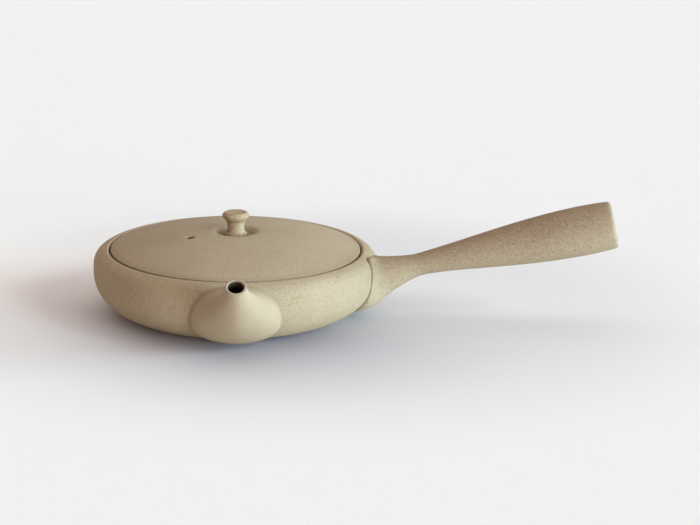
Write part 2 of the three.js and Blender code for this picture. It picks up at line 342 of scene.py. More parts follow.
def mark_value(tree, name):
    """The value that a piece's vertices carry under a name, or 0 where they carry none."""
    return make_node(tree, "Attribute", {}, attribute_name=name)["Fac"]


def fired(colour, tint):
    """A clay's colour after a firing that tints each piece a little."""
    return tuple(part * share for part, share in zip(colour, tint)) + (1.0,)


def matt_material(name, specular):
    """A matt material, with its tree, its shader and the place of each point in metres."""
    material = bpy.data.materials.new(name)
    material.use_nodes = True
    tree = material.node_tree
    shader = tree.nodes["Principled BSDF"]
    shader.inputs["Specular IOR Level"].default_value = specular
    place = make_node(tree, "TexCoord", {})["Object"]
    return material, tree, shader, place


def laid_over(tree, mask, depth, under, over):
    """Lays a colour over another where a mask is, no stronger than a depth."""
    share = math_node(tree, "MULTIPLY", mask, depth)
    return mix_colour(tree, share, under, over)


# %% [markdown]
# The recipe lays its colours on in the order in which they come about: first the clay with its
# clouds and its blush, then light and dark grains, iron specks and pits, and last the painted shade
# and the painted highlight that the vertices carry. The bump reads the same pits as the colours, so
# a pit is dark and deep at once.

# %% The recipe for a clay
SPARKLE = 1.5
CLOUDS_FROM, CLOUDS_TO = 0.35, 0.75
CLOUD_DEPTH = 0.5
CLOUD_DEPTH_UNDER_BLUSH = 0.35
BLUSH_DEPTH = 0.85
LIGHT_GRAINS_FROM, LIGHT_GRAINS_TO = 0.5, 0.75
DARK_GRAINS_FROM, DARK_GRAINS_TO = 0.5, 0.28
PIT_DARKNESS = 0.75
# How dark the painted shade in seams, grooves and gaps gets
SHADE_AND_SEAM_DARKNESS = 0.55
# How pale the painted highlight on the rim's edge gets
HIGHLIGHT_PALENESS = 0.75
LEAST_ROUGH = 0.72
ROUGH_SPREAD = 0.25
MATT_SPECULAR = 0.25
BUMP_DISTANCE = 0.00025


def clouded_clay(tree, place, clouds, pale, brown, blush):
    """The clay's two colours in soft clouds, with a blush along one side where it has one."""
    clouds = ramp_node(tree, clouds, CLOUDS_FROM, CLOUDS_TO)
    if not blush:
        return laid_over(tree, clouds, CLOUD_DEPTH, pale, brown)
    clouds = math_node(tree, "MULTIPLY", clouds, CLOUD_DEPTH_UNDER_BLUSH)
    blushed = blush_along(tree, place, *blush)
    blushed = math_node(tree, "MULTIPLY", blushed, BLUSH_DEPTH)
    browner = math_node(tree, "ADD", clouds, blushed, clamp=True)
    return mix_colour(tree, browner, pale, brown)


def speckled(tree, grains, colour, sparkle, fine_depth, speck_depth):
    """Lays light and dark grains, iron specks and pits over a colour."""
    light = ramp_node(tree, grains["Fine"], LIGHT_GRAINS_FROM, LIGHT_GRAINS_TO)
    colour = laid_over(tree, light, fine_depth, colour, sparkle)
    dark = ramp_node(tree, grains["Fine"], DARK_GRAINS_FROM, DARK_GRAINS_TO)
    colour = laid_over(tree, dark, fine_depth, colour, IRON)
    colour = laid_over(tree, grains["Specks"], speck_depth, colour, IRON)
    return laid_over(tree, grains["Pits"], PIT_DARKNESS, colour, IRON)


def used(tree, colour, sparkle):
    """Lays over a colour what the vertices carry: painted shade and the painted highlight."""
    # Painted shade in seams, grooves and gaps, partly the brown of wiped clay
    colour = laid_over(tree, mark_value(tree, "seam"), SHADE_AND_SEAM_DARKNESS, colour, SHADE_AND_SEAM_BROWN)
    # Painted shade in bores, partly tea stain
    colour = mix_colour(tree, mark_value(tree, "shade_and_stain"), colour, SHADE_AND_TEA_STAIN)
    # The painted highlight on the rim's edge
    return laid_over(tree, mark_value(tree, "rim_highlight"), HIGHLIGHT_PALENESS, colour, sparkle)


def add_relief(tree, shader, grains, relief):
    """Gives a shader the roughness and the bump of the grain."""
    rough = math_node(tree, "MULTIPLY", grains["Fine"], ROUGH_SPREAD)
    rough = math_node(tree, "ADD", rough, LEAST_ROUGH)
    inputs = {"Strength": relief, "Distance": BUMP_DISTANCE, "Height": grains["Height"]}
    bump = make_node(tree, "Bump", inputs)
    tree.links.new(rough, shader.inputs["Roughness"])
    tree.links.new(bump["Normal"], shader.inputs["Normal"])


def clay_material(
    name, brown, tint, grain, fine_depth, speck_share, speck_depth, pit_share, relief, blush=None,
):
    material, tree, shader, place = matt_material(name, MATT_SPECULAR)
    inputs = {"Vector": place, "Grain": grain, "Speck Share": speck_share, "Pit Share": pit_share}
    grains = make_node(tree, "Group", inputs, node_tree=GRAIN_GROUP)

    pale, brown = fired(SAND, tint), fired(brown, tint)
    sparkle = fired(SAND, [SPARKLE * share for share in tint])
    colour = clouded_clay(tree, place, grains["Clouds"], pale, brown, blush)
    colour = speckled(tree, grains, colour, sparkle, fine_depth, speck_depth)
    colour = used(tree, colour, sparkle)
    tree.links.new(colour, shader.inputs["Base Color"])
    add_relief(tree, shader, grains, relief)
    return material


# %% [markdown]
# The tint is what the fire did to a piece, the grain is how many grains lie along a metre, and a
# share is how many of the cells hold a speck or a pit. The handle is browner towards its top.

# %% The clay of each piece
HANDLE_UP = (-0.2393, 0.0358, 0.9703)
HANDLE_POINT = (0.1236, -0.0185, 0.0355)

body_clay = clay_material(
    "body_clay", WARM_SAND, (1.01, 0.996, 0.972), grain=1300, fine_depth=0.36,
    speck_share=0.06, speck_depth=0.35, pit_share=0.02, relief=0.6,
)
lid_clay = clay_material(
    "lid_clay", WARM_SAND, (1.02, 1.008, 0.991), grain=1400, fine_depth=0.3,
    speck_share=0.05, speck_depth=0.3, pit_share=0.015, relief=0.55,
)
spout_clay = clay_material(
    "spout_clay", WARM_SAND, (1.033, 1.019, 1.013), grain=1500, fine_depth=0.12,
    speck_share=0.04, speck_depth=0.2, pit_share=0.005, relief=0.4,
)
knob_clay = clay_material(
    "knob_clay", WARM_SAND, (0.995, 0.93, 0.845), grain=1700, fine_depth=0.7,
    speck_share=0.25, speck_depth=0.6, pit_share=0.08, relief=0.8,
)
handle_clay = clay_material(
    "handle_clay", BLUSHED, (1.059, 1.074, 1.08), grain=1150, fine_depth=0.38,
    speck_share=0.3, speck_depth=0.48, pit_share=0.05, relief=0.8,
    blush=(HANDLE_POINT, HANDLE_UP, -0.005, 0.008),
)
print("clays", [clay.name for clay in (body_clay, lid_clay, spout_clay, knob_clay, handle_clay)])

# %% [markdown]
# The body is a low round bowl: a flat foot, a belly that swells to its widest well above the foot,
# a shoulder that turns in, and a rim that drops to a ledge for the lid. The belly and the shoulder
# are superellipses, which is how a full, soft curve is written with one number for its fullness.

# %% The thrown body
BELLY_RADIUS = 58
BELLY_HEIGHT = 18
BELLY_FULLNESS = 2.13
FOOT_RADIUS = 34.5
FOOT_ROUNDING = 1.5
SHOULDER_SPAN = 23
SHOULDER_FULLNESS = 3.9
RIM_HEIGHT = 26.8
RIM_RADIUS = 51.7
RIM_ROUNDING = 0.9
RIM_START = 0.985
RIM_TURN_DEPTH = 1.2
WALL = 3
FLOOR_THICKNESS = 3.2
LEDGE_DEPTH = 2.6
LEDGE_THICKNESS = 2.6
LEDGE_ROUNDING = 0.4
MOUTH_RADIUS = 47.2
MOUTH_ROUNDING = 0.5
CEILING_FLAT = 3
SEAM_GAP = 0.3

RIM_OUTER = RIM_RADIUS + RIM_ROUNDING
RIM_INSET = (BELLY_RADIUS - RIM_OUTER) / SHOULDER_SPAN
RIM_SHARE = (1 - (1 - RIM_INSET) ** SHOULDER_FULLNESS) ** (1 / SHOULDER_FULLNESS)
SHOULDER_HEIGHT = (RIM_HEIGHT - BELLY_HEIGHT) / RIM_SHARE
LEDGE_HEIGHT = RIM_HEIGHT - LEDGE_DEPTH
CEILING = LEDGE_HEIGHT - LEDGE_THICKNESS
INNER_RADIUS = BELLY_RADIUS - WALL
print("body", 2 * BELLY_RADIUS, "mm wide")


# %% The outline of the body
def belly_curve(radius, base, drop, count):
    """From a flat base out and up to the widest height, a drop above the base."""
    points = []
    for t in steps(count):
        turn = t * math.pi / 2
        across = math.sin(turn) ** (2 / BELLY_FULLNESS)
        down = math.cos(turn) ** (2 / BELLY_FULLNESS)
        points.append((between(base, radius, across), BELLY_HEIGHT - drop * down))
    return points


def shoulder_curve(count):
    """From the widest height in and up to where the rim starts to turn."""
    last = math.asin(RIM_SHARE ** (SHOULDER_FULLNESS / 2)) * RIM_START
    points = []
    for t in steps(count)[1:]:
        across = math.cos(t * last) ** (2 / SHOULDER_FULLNESS)
        up = math.sin(t * last) ** (2 / SHOULDER_FULLNESS)
        radius = BELLY_RADIUS - SHOULDER_SPAN * (1 - across)
        points.append((radius, BELLY_HEIGHT + SHOULDER_HEIGHT * up))
    return points


def foot_and_belly():
    foot = bend(
        (FOOT_RADIUS - FOOT_ROUNDING, 0), (FOOT_RADIUS, 0), (FOOT_RADIUS + 1.2, 0.04), count=3,
    )
    belly = belly_curve(BELLY_RADIUS, FOOT_RADIUS, BELLY_HEIGHT, count=40)
    return foot + [point for point in belly if point[0] > FOOT_RADIUS + FOOT_ROUNDING]


def rim_and_ledge(start):
    """From the shoulder over the rim, down its inner side, and across the ledge."""
    end = (RIM_RADIUS, RIM_HEIGHT - RIM_TURN_DEPTH)
    rim = bend(start, (RIM_RADIUS + 0.05, RIM_HEIGHT + 0.1), end, count=8)
    ledge = soften([
        (RIM_RADIUS, RIM_HEIGHT - RIM_TURN_DEPTH - 0.1, 0),
        (RIM_RADIUS, LEDGE_HEIGHT, LEDGE_ROUNDING),
        (MOUTH_RADIUS, LEDGE_HEIGHT, LEDGE_ROUNDING),
        (MOUTH_RADIUS, CEILING, MOUTH_ROUNDING),
        (MOUTH_RADIUS + CEILING_FLAT, CEILING, 0),
    ])
    return rim[1:] + ledge


def inside_of_body():
    """From under the ledge, down the inner side, and along the floor to the middle."""
    start = (MOUTH_RADIUS + CEILING_FLAT, CEILING)
    under = bend(start, (INNER_RADIUS, CEILING), (INNER_RADIUS, BELLY_HEIGHT), count=12)
    depth = BELLY_HEIGHT - FLOOR_THICKNESS
    inner = belly_curve(INNER_RADIUS, FOOT_RADIUS - WALL, depth, count=30)
    inner.reverse()
    middle = [(FOOT_RADIUS * 0.4, FLOOR_THICKNESS), (0, FLOOR_THICKNESS)]
    return under[1:] + inner[1:] + middle


def body_outline():
    middle = [(0, 0), (FOOT_RADIUS * 0.5, 0)]
    shoulder = shoulder_curve(count=26)
    rim = rim_and_ledge(shoulder[-1])
    return middle + foot_and_belly() + shoulder + rim + inside_of_body()


# %% [markdown]
# The tea leaves the body through an opening behind the spout. The faces of both skins that lie in
# an ellipse seen from the spout are taken away, and bridging the two borders makes the cut's edge.

# %% The opening behind the spout
OPENING_WIDTH = 20
OPENING_RISE = 11
STRAINER_MIDDLE = 13


def cut_tea_opening(bm):
    in_opening = []
    for face in bm.faces:
        centre = face.calc_center_median()
        across = centre.x / (OPENING_WIDTH / 2)
        up = (centre.z - STRAINER_MIDDLE) / (OPENING_RISE / 2)
        if centre.y < 0 and across ** 2 + up ** 2 < 1:
            in_opening.append(face)
    bmesh.ops.delete(bm, geom=in_opening, context="FACES")
    border = [edge for edge in bm.edges if edge.is_boundary]
    bmesh.ops.bridge_loops(bm, edges=border)


# A painted highlight: a pale line along the inner edge of the rim, where the light catches it
HIGHLIGHT_DEPTH = 0.7
HIGHLIGHT_WIDTH = 0.5


def on_inner_edge_of_rim(point):
    near_top = point.z > RIM_HEIGHT - HIGHLIGHT_DEPTH
    return near_top and RIM_RADIUS < point.xy.length < RIM_RADIUS + HIGHLIGHT_WIDTH


body = spun(body_outline(), ROUND_SIDES)
cut_tea_opening(body)
mark_where(body, "rim_highlight", on_inner_edge_of_rim)
finish_piece(body, "thrown_body", "pot_body", body_clay)

# %% [markdown]
# The lid sits down inside the rim, so only a thin dark line parts it from the body. It is a
# shallow dome with a dimple in the middle for the knob, a step that rests on the ledge, and a
# flange below that keeps it from sliding off when the pot is tipped. All of that is one outline.

# %% The lid
LID_CLEARANCE = 0.5
LID_RISE = 7.4
LID_FULLNESS = 2.4
LID_THICKNESS = 2.6
FLANGE_CLEARANCE = 0.6
FLANGE_THICKNESS = 2.4
FLANGE_DEPTH = 4.6
FLANGE_ROUNDING = 0.7
UNDERSIDE_ROUNDING = 1.2
UNDERSIDE_MARGIN = 4
DIMPLE_RADIUS = 10.1
DIMPLE_DEPTH = 1.9
DIMPLE_MARGIN = 2.1
DIMPLE_ROUNDING = 0.9
KNOB_FOOT_RADIUS = 4.8
LID_EDGE_TRIM = 0.15
LID_RADIUS = RIM_RADIUS - LID_CLEARANCE - LID_EDGE_TRIM
LID_UNDERSIDE = LEDGE_HEIGHT + SEAM_GAP
FLANGE_RADIUS = MOUTH_RADIUS - FLANGE_CLEARANCE
FLANGE_INNER = FLANGE_RADIUS - FLANGE_THICKNESS
FLANGE_BOTTOM = LID_UNDERSIDE - FLANGE_DEPTH


def lid_top_at(radius):
    return RIM_HEIGHT + LID_RISE * (1 - (radius / LID_RADIUS) ** LID_FULLNESS)


def lid_underside_at(radius):
    return lid_top_at(max(radius, DIMPLE_RADIUS)) - DIMPLE_DEPTH - LID_THICKNESS


DIMPLE_LIP = lid_top_at(DIMPLE_RADIUS)
DIMPLE_FLOOR = DIMPLE_LIP - DIMPLE_DEPTH
print("lid", round(2 * LID_RADIUS, 1), "mm wide")
CROWN_START = DIMPLE_RADIUS + 1.2
CROWN_END = LID_RADIUS - 0.9


def dimple_outline():
    return soften([
        (0, DIMPLE_FLOOR, 0),
        (KNOB_FOOT_RADIUS, DIMPLE_FLOOR, 0),
        (KNOB_FOOT_RADIUS + DIMPLE_MARGIN, DIMPLE_FLOOR, DIMPLE_ROUNDING),
        (DIMPLE_RADIUS - DIMPLE_ROUNDING, DIMPLE_LIP - 0.1, DIMPLE_ROUNDING),
        (CROWN_START, lid_top_at(CROWN_START), 0),
    ])


def edge_and_flange():
    """Over the lid's edge, down its side, around the flange and onto the underside."""
    inner_end = FLANGE_INNER - UNDERSIDE_MARGIN
    return soften([
        (CROWN_END + 0.1, lid_top_at(CROWN_END + 0.1), 0),
        (LID_RADIUS, RIM_HEIGHT + 0.02, 0.35),
        (LID_RADIUS, LID_UNDERSIDE, 0.4),
        (FLANGE_RADIUS, LID_UNDERSIDE, 0.3),
        (FLANGE_RADIUS, FLANGE_BOTTOM, FLANGE_ROUNDING),
        (FLANGE_INNER, FLANGE_BOTTOM, FLANGE_ROUNDING),
        (FLANGE_INNER, lid_underside_at(FLANGE_INNER), UNDERSIDE_ROUNDING),
        (inner_end, lid_underside_at(inner_end), 0),
    ])


def lid_outline():
    crown = [between(CROWN_START, CROWN_END, t) for t in steps(40)[1:]]
    under = [(FLANGE_INNER - UNDERSIDE_MARGIN) * (1 - t) for t in steps(28)[1:]]
    return (
        dimple_outline() + [(radius, lid_top_at(radius)) for radius in crown]
        + edge_and_flange() + [(radius, lid_underside_at(radius)) for radius in under]
    )


# %% [markdown]
# The vent is a small hole with a shallow cone around it, through both skins of the lid. The skin's
# own faces are too coarse for so small a circle, so they are divided around it first. Then the
# faces inside the circle go, their border is drawn onto the circle, and the border of the upper
# skin is drawn down in steps until it meets the lower one.

# %% The vent
VENT_DIAMETER = 3.1
VENT_REACH = 20.4
VENT_BEARING = math.radians(205.6)
VENT_MOUTH_RADIUS = 2.5
VENT_MOUTH_DEPTH = 0.5
SKIN_DEPTH = 1.5
# Each step of the cone: its share of the widening, its share of the depth, and its painted shade
VENT_CONE = ((0.7, 0.1, 0.0), (0.3, 0.4, 0.0), (0.0, 0.5, 0.1), (0.0, 0.6, 0.7))


def open_skin(bm, centre, radius, top):
    """Divides one skin of the lid around a circle, opens it there, and gives the border."""

    def on_skin(place):
        return (place.z > lid_top_at(VENT_REACH) - SKIN_DEPTH) == top

    for near in (2 * radius, 1.5 * radius):
        edges = [
            edge for edge in bm.edges
            if all((v.co.xy - centre).length < near and on_skin(v.co) for v in edge.verts)
        ]
        bmesh.ops.subdivide_edges(bm, edges=edges, cuts=2, use_grid_fill=True)
    inside = []
    for face in bm.faces:
        middle = face.calc_center_median()
        if (middle.xy - centre).length < radius and on_skin(middle):
            inside.append(face)
    bmesh.ops.delete(bm, geom=inside, context="FACES")
    border = [edge for edge in bm.edges if edge.is_boundary and on_skin(edge.verts[0].co)]
    place_ring(border, centre, radius)
    return border


def place_ring(edges, centre, radius, drop=0.0):
    """Moves the vertices of a border onto a circle seen from above, and down by a drop."""
    for vert in {v for edge in edges for v in edge.verts}:
        away = (vert.co.xy - centre).normalized() * radius
        vert.co.x = centre.x + away.x
        vert.co.y = centre.y + away.y
        vert.co.z = vert.co.z - drop


def pierce_vent(bm):
    """Opens both skins around the vent, and joins them through a shallow cone and a bore."""
    centre = Vector((VENT_REACH * math.cos(VENT_BEARING), VENT_REACH * math.sin(VENT_BEARING)))
    # The bore of the vent carries painted shade, darkest at the lower skin
    shade_and_stain = bm.verts.layers.float.new("shade_and_stain")
    below = open_skin(bm, centre, VENT_DIAMETER / 2, False)
    edges = open_skin(bm, centre, VENT_MOUTH_RADIUS, True)
    rounding = VENT_MOUTH_RADIUS - VENT_DIAMETER / 2
    for across, drop, dark in VENT_CONE:
        made = bmesh.ops.extrude_edge_only(bm, edges=edges)["geom"]
        edges = [part for part in made if isinstance(part, bmesh.types.BMEdge)]
        place_ring(edges, centre, VENT_DIAMETER / 2 + rounding * across, VENT_MOUTH_DEPTH * drop)
        for edge in edges:
            for vert in edge.verts:
                vert[shade_and_stain] = dark
    for vert in {v for edge in below for v in edge.verts}:
        vert[shade_and_stain] = 1.0
    bmesh.ops.bridge_loops(bm, edges=edges + below)


# %% Painted shade on the lid
# Painted shade: in the dimple around the knob's foot, in a band along the lid's edge by the gap,
# and on the lid's side inside the gap
FLOOR_BAND = 0.4
BORDER_WIDTH = 1.9
SIDE_WIDTH = 0.6
DIMPLE_SHADE = 0.65
BORDER_SHADE = 0.25
GAP_SIDE_SHADE = 0.8


def in_dimple(point):
    return abs(point.z - DIMPLE_FLOOR) < FLOOR_BAND and point.xy.length < DIMPLE_RADIUS


def on_border(point):
    return point.z > RIM_HEIGHT and point.xy.length > LID_RADIUS - BORDER_WIDTH


def on_side(point):
    return point.z < RIM_HEIGHT + 0.1 and point.xy.length > LID_RADIUS - SIDE_WIDTH


lid = spun(lid_outline(), ROUND_SIDES)
pierce_vent(lid)
mark_where(lid, "seam", in_dimple, DIMPLE_SHADE)
mark_where(lid, "seam", on_border, BORDER_SHADE)
mark_where(lid, "seam", on_side, GAP_SIDE_SHADE)
finish_piece(lid, "fitted_lid", "lid", lid_clay)

# %% [markdown]
# The knob is a flared foot, a waisted stem, and a small round head with a soft upper edge. A fine
# groove under the head, where the potter trimmed it, is part of the outline too. Its vertices, and
# those of the foot where it stands in the dimple, carry painted shade.

# %% The knob
KNOB_SIDES = 96
KNOB_STEM_RADIUS = 3.4
KNOB_STEM_HEIGHT = 5.7
KNOB_NECK_RADIUS = 3.9
KNOB_HEAD_RADIUS = 5.5
KNOB_HEAD_HEIGHT = 3.65
KNOB_WIDEST_SHARE = 0.6
KNOB_TOP_RADIUS = 4.3
KNOB_TOP_DISH = 0.3
KNOB_BOTTOM = DIMPLE_FLOOR + SEAM_GAP
KNOB_NECK = KNOB_BOTTOM + KNOB_STEM_HEIGHT
KNOB_TOP = KNOB_NECK + KNOB_HEAD_HEIGHT
GROOVE_SHADE = 1.4
GROOVE_BAND = 0.3
KNOB_FOOT_BAND = 0.6


def knob_outline():
    foot = [
        (0, KNOB_BOTTOM - 0.2, 0),
        (KNOB_FOOT_RADIUS + 0.3, KNOB_BOTTOM - 0.2, 0),
        (KNOB_FOOT_RADIUS, KNOB_BOTTOM + 0.4, 0.3),
    ]
    stem = [
        (KNOB_STEM_RADIUS + 0.15, KNOB_BOTTOM + 1.5, 0.8),
        (KNOB_STEM_RADIUS - 0.05, between(KNOB_BOTTOM, KNOB_NECK, 0.6), 0.9),
    ]
    groove = [
        (KNOB_NECK_RADIUS - 0.15, KNOB_NECK - 0.35, 0.2),
        (KNOB_NECK_RADIUS - 0.4, KNOB_NECK - 0.05, 0.12),
        (KNOB_NECK_RADIUS + 0.15, KNOB_NECK + 0.1, 0.12),
    ]
    head = [
        (KNOB_HEAD_RADIUS - 0.05, between(KNOB_NECK, KNOB_TOP, KNOB_WIDEST_SHARE - 0.14), 0.5),
        (KNOB_HEAD_RADIUS + 0.02, between(KNOB_NECK, KNOB_TOP, KNOB_WIDEST_SHARE + 0.1), 0.35),
        (KNOB_TOP_RADIUS + 0.3, KNOB_TOP + 0.02, 0.5),
        (KNOB_TOP_RADIUS - 1.2, KNOB_TOP - 0.2, 0.5),
        (0, KNOB_TOP - KNOB_TOP_DISH, 0),
    ]
    return soften(foot + stem + groove + head)


def in_groove(point):
    return abs(point.z - KNOB_NECK) < GROOVE_BAND and point.xy.length < KNOB_NECK_RADIUS


def at_knob_foot(point):
    return point.z < DIMPLE_FLOOR + KNOB_FOOT_BAND


knob = spun(knob_outline(), KNOB_SIDES)
# Painted shade in the groove under the head and at the foot
mark_where(knob, "seam", in_groove, GROOVE_SHADE)
mark_where(knob, "seam", at_knob_foot)
finish_piece(knob, "turned_knob", "knob", knob_clay)

# %% [markdown]
# Spout and handle both grow out of the side of the body, so both start on a ring that lies on its
# surface. A ring is written as an ellipse seen from the side, and each of its points is pushed out
# to where the body's surface is at that height. From there every line runs straight out for a
# little and then bends into the piece's own direction, which gives the full, rounded root.

# %% Rings on the body and rings in the air
RING_POINTS = 72


def body_radius_at(height):
    """How far out the body's surface lies at a height."""
    rise = height - BELLY_HEIGHT
    if rise < 0:
        down = min(1, -rise / BELLY_HEIGHT)
        across = (1 - down ** BELLY_FULLNESS) ** (1 / BELLY_FULLNESS)
        return between(FOOT_RADIUS, BELLY_RADIUS, across)
    up = min(1, rise / SHOULDER_HEIGHT)
    across = (1 - up ** SHOULDER_FULLNESS) ** (1 / SHOULDER_FULLNESS)
    return BELLY_RADIUS - SHOULDER_SPAN * (1 - across)


def out_of_body(height):
    """The direction straight out of the body's surface at a height, as (outwards, upwards)."""
    small = 0.01
    fall = body_radius_at(height - small) - body_radius_at(height + small)
    return Vector((2 * small, fall)).normalized()


def turns():
    return [2 * math.pi * k / RING_POINTS for k in range(RING_POINTS)]


def seam_ring(half_width, top, middle, bottom, fullness=2, spread=0.0, lift=0.0, roll=0.0):
    """An oval seen from the side, laid on the body and lifted off it.

    Fullness squares its top, and roll raises one end of the top and lowers the other.
    """
    ring = []
    for turn in turns():
        across, up = math.cos(turn), math.sin(turn)
        if up > 0:
            across = math.copysign(abs(across) ** (2 / fullness), across)
            up = up ** (2 / fullness)
        y = (half_width + spread) * across
        reach = top - middle if up > 0 else middle - bottom
        z = middle + (reach + spread - roll * y) * up
        out, up = out_of_body(z)
        x = math.sqrt((body_radius_at(z) + out * lift) ** 2 - y * y)
        ring.append(Vector((x, y, z + up * lift)))
    return ring


def round_ring(centre, lean, radius):
    """A circle that leans back by an angle from upright."""
    across = Vector((0, 1, 0))
    up = Vector((-math.sin(lean), 0, math.cos(lean)))
    return [centre + radius * (math.cos(a) * across + math.sin(a) * up) for a in turns()]


# %% A branch that grows out of the body
RIDGE_SOFTNESS = 5


def branch_rings(seam, swell_reach, last, arrivals, count, cheek_slope=0.0):
    """Rings on lines that run straight out towards a plane and then bend into their arrivals.

    With a slope the plane falls back from a soft ridge in the middle, which flattens the cheeks.
    """
    rings = []
    for t in steps(count):
        ring = []
        for start, end, arrive in zip(seam, last, arrivals):
            off_ridge = math.hypot(start.y, RIDGE_SOFTNESS) - RIDGE_SOFTNESS
            reach = swell_reach - cheek_slope * off_ridge
            out = Vector((max(start.x, reach), start.y, start.z))
            ring.append(
                start * (1 - t) ** 3 + out * 3 * t * (1 - t) ** 2
                + (end - arrive) * 3 * t ** 2 * (1 - t) + end * t ** 3
            )
        rings.append(ring)
    return rings


def turned_to(bm, bearing):
    """Turns a piece made along the X axis to a bearing in degrees."""
    turn = Matrix.Rotation(math.radians(bearing), 3, "Z")
    bmesh.ops.rotate(bm, cent=(0, 0, 0), matrix=turn, verts=bm.verts)
    return bm


def with_zeros(values, count):
    """The values, and zeros after them up to a count."""
    return list(values) + [0.0] * (count - len(values))


print("body's radius at its rim", round(body_radius_at(RIM_HEIGHT), 1), "mm")

# %% [markdown]
# The spout is a short bell whose mouth looks up and forward. Its lip is thin and softly rounded.
# Its root runs into the body in a narrow wiped fillet. That is a quarter round of rings, and its
# vertices carry the soft dark line around the spout: painted shade, partly the brown of wiped clay.
# The lip carries a little painted shade too, and the bore painted shade, partly tea stain.

# %% The spout
SPOUT_REACH = 76
SPOUT_HEIGHT = 32
SPOUT_AIM = math.radians(58)
SPOUT_LIP_RADIUS = 4.2
SPOUT_LIP_WALL = 1.2
SPOUT_BASE_WIDTH = 34.4
SPOUT_BASE_TOP = 25.2
SPOUT_BASE_FULLNESS = 2.4
SPOUT_BASE_MIDDLE = 11.5
SPOUT_BASE_BOTTOM = 2.6
SPOUT_BASE_WALL = 2.8
SPOUT_SWELL_REACH = 64
SPOUT_THROAT = 6.5
SPOUT_CHEEK_SLOPE = 0.5
SPOUT_FILLET = 1.3
SPOUT_SINK = 0.6
SPOUT_OVERLAP = 0.02
# Painted shade on the fillet rings, partly wiped brown, on the lip, and down the bore, partly tea
SPOUT_FILLET_SHADE = (0.5, 0.5, 0.5, 0.35, 0.35, 0.35, 0.2, 0.1)
SPOUT_LIP_SHADE = 0.45
THROAT_SHADE_AND_STAIN = 0.75


# %% The rings of the spout
def spout_seam(inset, spread=0.0, lift=0.0):
    return seam_ring(
        SPOUT_BASE_WIDTH / 2 - inset, SPOUT_BASE_TOP - inset, SPOUT_BASE_MIDDLE,
        SPOUT_BASE_BOTTOM + inset, SPOUT_BASE_FULLNESS, spread=spread, lift=lift,
    )


def spout_fillet_rings():
    """A quarter round from just under the body's surface up into the spout."""
    rings = [spout_seam(0, SPOUT_FILLET, -SPOUT_SINK)]
    for t in steps(5):
        turn = t * math.pi / 2
        spread = SPOUT_FILLET * (1 - math.sin(turn))
        lift = SPOUT_FILLET * (1 - math.cos(turn))
        rings.append(spout_seam(0, spread, lift - SPOUT_OVERLAP))
    return rings


def spout_lip_rings(tip, aim):
    """Half a turn over the lip, from its outer side to its inner one."""
    half_wall = SPOUT_LIP_WALL / 2
    rings = []
    for t in steps(8)[1:-1]:
        turn = t * math.pi
        centre = tip + aim * half_wall * math.sin(turn)
        radius = SPOUT_LIP_RADIUS - half_wall + half_wall * math.cos(turn)
        rings.append(round_ring(centre, SPOUT_AIM, radius))
    return rings


def spout_rings():
    aim = Vector((math.cos(SPOUT_AIM), 0, math.sin(SPOUT_AIM)))
    tip = Vector((SPOUT_REACH, 0, SPOUT_HEIGHT)) - aim * SPOUT_LIP_WALL / 2
    arrivals = [aim * SPOUT_THROAT] * RING_POINTS
    fillet = spout_fillet_rings()
    outer = branch_rings(
        fillet[-1], SPOUT_SWELL_REACH, round_ring(tip, SPOUT_AIM, SPOUT_LIP_RADIUS),
        arrivals, count=30, cheek_slope=SPOUT_CHEEK_SLOPE,
    )
    lip = spout_lip_rings(tip, aim)
    inner = branch_rings(
        spout_seam(SPOUT_BASE_WALL, lift=-SPOUT_SINK), SPOUT_SWELL_REACH - SPOUT_BASE_WALL,
        round_ring(tip, SPOUT_AIM, SPOUT_LIP_RADIUS - SPOUT_LIP_WALL),
        arrivals, count=24, cheek_slope=SPOUT_CHEEK_SLOPE,
    )
    inner.reverse()
    outside = fillet + outer[1:]
    rings = outside + lip + inner
    seam = with_zeros(SPOUT_FILLET_SHADE, len(outside)) + [SPOUT_LIP_SHADE] * len(lip)
    shade_and_stain = with_zeros([], len(outside + lip)) + [THROAT_SHADE_AND_STAIN] + [1.0] * (len(inner) - 1)
    return rings, {"seam": with_zeros(seam, len(rings)), "shade_and_stain": shade_and_stain}


spout = skinned(*spout_rings())
finish_piece(turned_to(spout, -90), "pouring_spout", "spout", spout_clay)

# %% [markdown]
# The handle is thrown as a long hollow trumpet. It leaves the body in a flared foot with a crisp
# edge, narrows to a neck, and widens again to an open end that rests in the palm. Its centre line
# is two straight runs with a soft bend between them, so one formula gives height and slope.

# %% The handle
HANDLE_BEARING = -8.5
HANDLE_REACH = 153.5
HANDLE_END_HEIGHT = 42.65
HANDLE_STEEPNESS = math.tan(math.radians(14))
HANDLE_ROOT_STEEPNESS = math.tan(math.radians(20))
HANDLE_BEND_REACH = 77
HANDLE_BEND_SOFTNESS = 7
HANDLE_BASE_WIDTH = 23.2
HANDLE_BASE_TOP = 25.1
HANDLE_BASE_MIDDLE = 13.5
HANDLE_BASE_BOTTOM = 2.8
HANDLE_BASE_FULLNESS = 4.5
HANDLE_BASE_ROLL = 0.15
HANDLE_SWELL_REACH = 57
HANDLE_ROOT_REACH = 63.1
HANDLE_ROOT_RADIUS = 7.3
HANDLE_ROOT_THROAT = 4
HANDLE_ROOT_FLARE = 1.5
HANDLE_NECK_REACH = 75.5
HANDLE_NECK_RADIUS = 4.55
HANDLE_GRIP_REACH = 141.5
HANDLE_GRIP_RADIUS = 10
HANDLE_SWELL = 0.8
HANDLE_END_RADIUS = 9.4
HANDLE_WALL = 2.6
HANDLE_END_ROUNDING = 1.3
HANDLE_END_BROWN = 0.25
HANDLE_BEND_HEIGHT = HANDLE_END_HEIGHT - (HANDLE_REACH - HANDLE_BEND_REACH) * HANDLE_STEEPNESS
